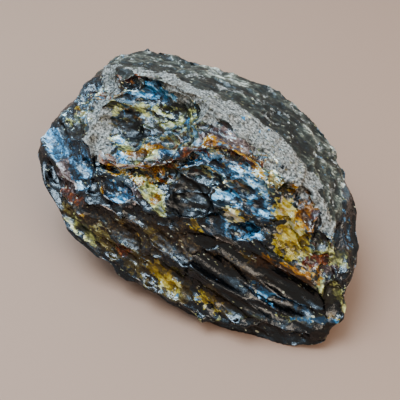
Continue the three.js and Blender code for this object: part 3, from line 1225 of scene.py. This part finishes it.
veils = bmesh.new()
for at, facing, run, half_length, half_width, depth in VEILS:
    facing = Vector(facing).normalized()
    across = facing.cross(Vector(run)).normalized()
    turn = Matrix((across.cross(facing), across, facing)).transposed().to_4x4()
    sheet = bmesh.new()
    bmesh.ops.create_grid(sheet, x_segments=VEIL_STEPS, y_segments=VEIL_STEPS, size=1)
    outside = [vert for vert in sheet.verts if vert.co.length > 1]
    bmesh.ops.delete(sheet, geom=outside, context="VERTS")
    bmesh.ops.scale(sheet, verts=sheet.verts, vec=(half_length * MM, half_width * MM, 1))
    bmesh.ops.transform(sheet, matrix=Matrix.Translation(Vector(at) * MM) @ turn, verts=sheet.verts)
    missed = [vert for vert in sheet.verts if skin_above(vert.co, facing) is None]
    bmesh.ops.delete(sheet, geom=missed, context="VERTS")
    for vert in sheet.verts:
        skin = skin_above(vert.co, facing)
        vert.co = skin - facing * (depth * MM + noise.noise(skin / VEIL_PATCH) * VEIL_WAVE)
    for _ in range(VEIL_SMOOTHINGS):
        bmesh.ops.smooth_vert(
            sheet, verts=sheet.verts, factor=0.5, use_axis_x=True, use_axis_y=True, use_axis_z=True
        )
    for vert in sheet.verts:
        skin = skin_above(vert.co, facing)
        if skin is not None:
            vert.co -= facing * max(0, LEAST_DEPTH - (skin - vert.co).dot(facing))
    shallow = [vert for vert in sheet.verts if not sealed(vert.co, facing)]
    bmesh.ops.delete(sheet, geom=shallow, context="VERTS")
    part = bpy.data.meshes.new("veil")
    sheet.to_mesh(part)
    sheet.free()
    veils.from_mesh(part)
    bpy.data.meshes.remove(part)

for face in veils.faces:
    face.smooth = True
honey_veils = bpy.data.objects.new("honey_veils", bpy.data.meshes.new("honey_veils"))
veils.to_mesh(honey_veils.data)
veils.free()
bpy.context.collection.objects.link(honey_veils)
finish_with(honey_veils, "SOLIDIFY", thickness=VEIL_THICKNESS, use_even_offset=False, offset=-1)
print("veils:", len(VEILS), "with", len(honey_veils.data.polygons), "faces")
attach(honey_veils, "root")

# %% [markdown]
# Clouded resin is full of bubbles too small to see, so it scatters light like thin honey
# that has set: cream where it is thickest, and yellow to brown where it is stained.

# %% Clouded resin
CLOUD_GRAIN = 3.0  # mm across one cloud
CLOUD_COLOURS = [(0.34, "#7c5a1c"), (0.44, "#cdb03c"), (0.54, "#f0e284"), (0.68, "#fff8dc")]
clouded = bpy.data.materials.new("clouded_resin")
clouded.use_nodes = True
cloud_tree = clouded.node_tree
cloud_place = add_node(cloud_tree, "ShaderNodeTexCoord").outputs["Object"]
cloud = add_node(
    cloud_tree, "ShaderNodeTexNoise",
    {"Vector": cloud_place, "Scale": PER_METRE / CLOUD_GRAIN, "Detail": 5.0, "Roughness": 0.6},
).outputs["Fac"]
cloud_colour = add_node(
    cloud_tree, "ShaderNodeValToRGB", {"Fac": cloud}, stops=CLOUD_COLOURS
).outputs["Color"]
cloud_shader = cloud_tree.nodes["Principled BSDF"]
cloud_tree.links.new(cloud_colour, cloud_shader.inputs["Base Color"])
cloud_shader.inputs["Roughness"].default_value = 0.5
honey_veils.data.materials.append(clouded)
print("clouded resin on:", honey_veils.name)

# %% [markdown]
# ## Sun spangles and bark
#
# Two more things are sealed in. Sun spangles are flat round cracks, a few millimetres across,
# that open inside old resin. They look like brown coins, and two lie under the dull face below
# the ledge. Splinters of bark stuck to the resin while it was wet, and the honey window holds
# a few of them just above its veil.

# %% Sun spangles and bark
SPANGLES = [
    # middle, facing, radius and depth in mm
    ((-12.6, -36.8, 33.4), (0.2, -0.89, 0.41), 3.2, 0.9),
    ((-2.4, -36.1, 29.9), (0.2, -0.89, 0.41), 4.5, 0.9),
]
SPANGLE_DOME = 0.3 * MM
BARK_MIDDLE = Vector((41, -7, 42)) * MM
BARK_FACING = Vector((0.5, -0.5, 0.7)).normalized()
BARK_COUNT = 14
BARK_RUN = Vector((0.45, -0.5, -0.75))  # most of them lie along the window
BARK_TURN = 0.8  # how far they turn away from that
BARK_SPREAD = 10  # mm from the middle of the window
BARK_LENGTHS = (1.2, 3.5)  # mm
BARK_RADII = (0.22 * MM, 0.08 * MM)
BARK_DEPTH = 0.8 * MM


def seal_in(shape, name, material):
    """Makes one sealed-in piece of a bmesh and frees it."""
    mesh = bpy.data.meshes.new(name)
    shape.to_mesh(mesh)
    shape.free()
    piece = bpy.data.objects.new(name, mesh)
    bpy.context.collection.objects.link(piece)
    mesh.materials.append(material)
    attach(piece, "root")
    print(name, "has", len(mesh.polygons), "faces")
    return piece


coins = bmesh.new()
for at, facing, radius, depth in SPANGLES:
    facing = Vector(facing).normalized()
    skin = skin_above(Vector(at) * MM, facing)
    turn = facing.to_track_quat("Z", "Y").to_matrix().to_4x4()
    seat = Matrix.Translation(skin - facing * (depth * MM + SPANGLE_DOME)) @ turn
    flat = Matrix.Diagonal((radius * MM, radius * MM, SPANGLE_DOME, 1))
    bmesh.ops.create_uvsphere(coins, u_segments=32, v_segments=10, radius=1, matrix=seat @ flat)
for face in coins.faces:
    face.smooth = True
# a spangle mirrors light inside the resin, so it's glossy and tea-brown
seal_in(coins, "sun_spangles", plain_material("spangle", "#b08c48", 0.25))

luck = np.random.default_rng(4)
twigs = bmesh.new()
for _ in range(BARK_COUNT):
    drift = Vector((luck.uniform(-1, 1), luck.uniform(-1, 1), luck.uniform(-1, 1)))
    spot = BARK_MIDDLE + drift.cross(BARK_FACING) * BARK_SPREAD * MM
    run = BARK_RUN + drift * BARK_TURN
    length = luck.uniform(*BARK_LENGTHS) * MM
    skin = skin_above(spot, BARK_FACING)
    if skin is None or not sealed(skin - BARK_FACING * BARK_DEPTH, BARK_FACING):
        continue
    turn = run.to_track_quat("Z", "Y").to_matrix().to_4x4()
    seat = Matrix.Translation(skin - BARK_FACING * BARK_DEPTH) @ turn
    bmesh.ops.create_cone(
        twigs, cap_ends=True, segments=6, radius1=BARK_RADII[0], radius2=BARK_RADII[1],
        depth=length, matrix=seat,
    )
# old bark is nearly black
seal_in(twigs, "bark_splinters", plain_material("bark", "#2a1a10", 0.8))
